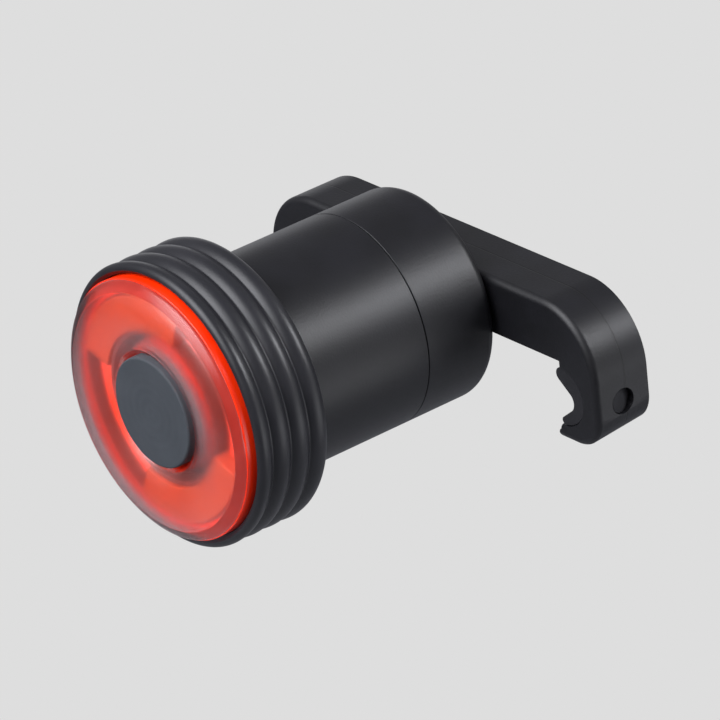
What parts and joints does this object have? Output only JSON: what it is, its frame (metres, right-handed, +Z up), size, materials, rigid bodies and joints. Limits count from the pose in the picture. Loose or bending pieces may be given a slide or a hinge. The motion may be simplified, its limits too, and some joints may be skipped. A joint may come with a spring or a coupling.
{
  "type": "bicycle rear light",
  "caption": "Round red bicycle rear light with a ribbed head ring, a push button in the lens and a black saddle-rail bracket with padded hooks.",
  "frame": {"origin": "midway between the two saddle-rail axes, at the middle of the bracket's width", "axes": "+X across the bicycle along the bracket's arm, +Y forwards from the lens to the bracket, +Z up"},
  "size_m": [0.0628, 0.0525, 0.0368],
  "materials": {
    "black_polymer": "satin injection-moulded black plastic",
    "ring_polymer": "satin black plastic, ribbed for grip",
    "pad_rubber": "matt dark grey rubber",
    "seal_rubber": "matt black rubber",
    "button_rubber": "matt slate grey rubber with faint turned rings",
    "lens_red": "polished clear red lens plastic",
    "reflector_red": "dull red moulded plastic",
    "guide_diffuser": "frosted light-guide plastic",
    "led_package": "ceramic chip with a phosphor face",
    "board_white": "white solder mask on glass-fibre board",
    "board_green": "green solder mask on glass-fibre board",
    "switch_black": "black moulded switch case",
    "switch_white": "white moulded plunger",
    "screw_steel": "zinc-plated steel",
    "usb_steel": "drawn stainless shell",
    "cable_amber": "amber flexible circuit",
    "carrier_plastic": "natural moulded plastic",
    "cell_wrap": "shrink-wrapped cell",
    "nickel_tab": "nickel strip",
    "flap_rubber": "matt black rubber"
  },
  "bodies": {
    "bracket": {"bracket": "black_polymer", "rail_pad_left": "pad_rubber", "rail_pad_right": "pad_rubber"},
    "button": {"button_cap": "button_rubber", "switch_plunger": "switch_white"},
    "flap": {"port_flap": "flap_rubber"},
    "lamp": {"bayonet_stud": "black_polymer", "stud_screw": "screw_steel", "tail_cap": "black_polymer", "cap_seal": "seal_rubber", "barrel": "black_polymer", "head_ring": "ring_polymer", "lens": "lens_red", "lens_seal": "seal_rubber", "reflector": "reflector_red", "light_guides": "guide_diffuser", "leds": "led_package", "led_board": "board_white", "board_screws": "screw_steel", "tact_switch": "switch_black", "link_cable": "cable_amber", "main_board": "board_green", "usb_socket": "usb_steel", "cell_carrier": "carrier_plastic", "carrier_screws": "screw_steel", "cell": "cell_wrap", "cell_tabs": "nickel_tab", "flap_root": "flap_rubber"}
  },
  "joints": [
    {"name": "light_twist", "type": "hinge", "parent": "bracket", "child": "lamp", "pos_m": [0, -0.00417, 0.0074], "axis": [0, 1, 0], "range_deg": [0, 90]},
    {"name": "button_press", "type": "slide", "parent": "lamp", "child": "button", "axis": [0, 1, 0], "range_m": [0, 0.0005], "stiffness_N_per_m": 3000},
    {"name": "flap_swing", "type": "hinge", "parent": "lamp", "child": "flap", "pos_m": [0, -0.01963, -0.0066], "axis": [1, 0, 0], "range_deg": [0, 100]}
  ]
}
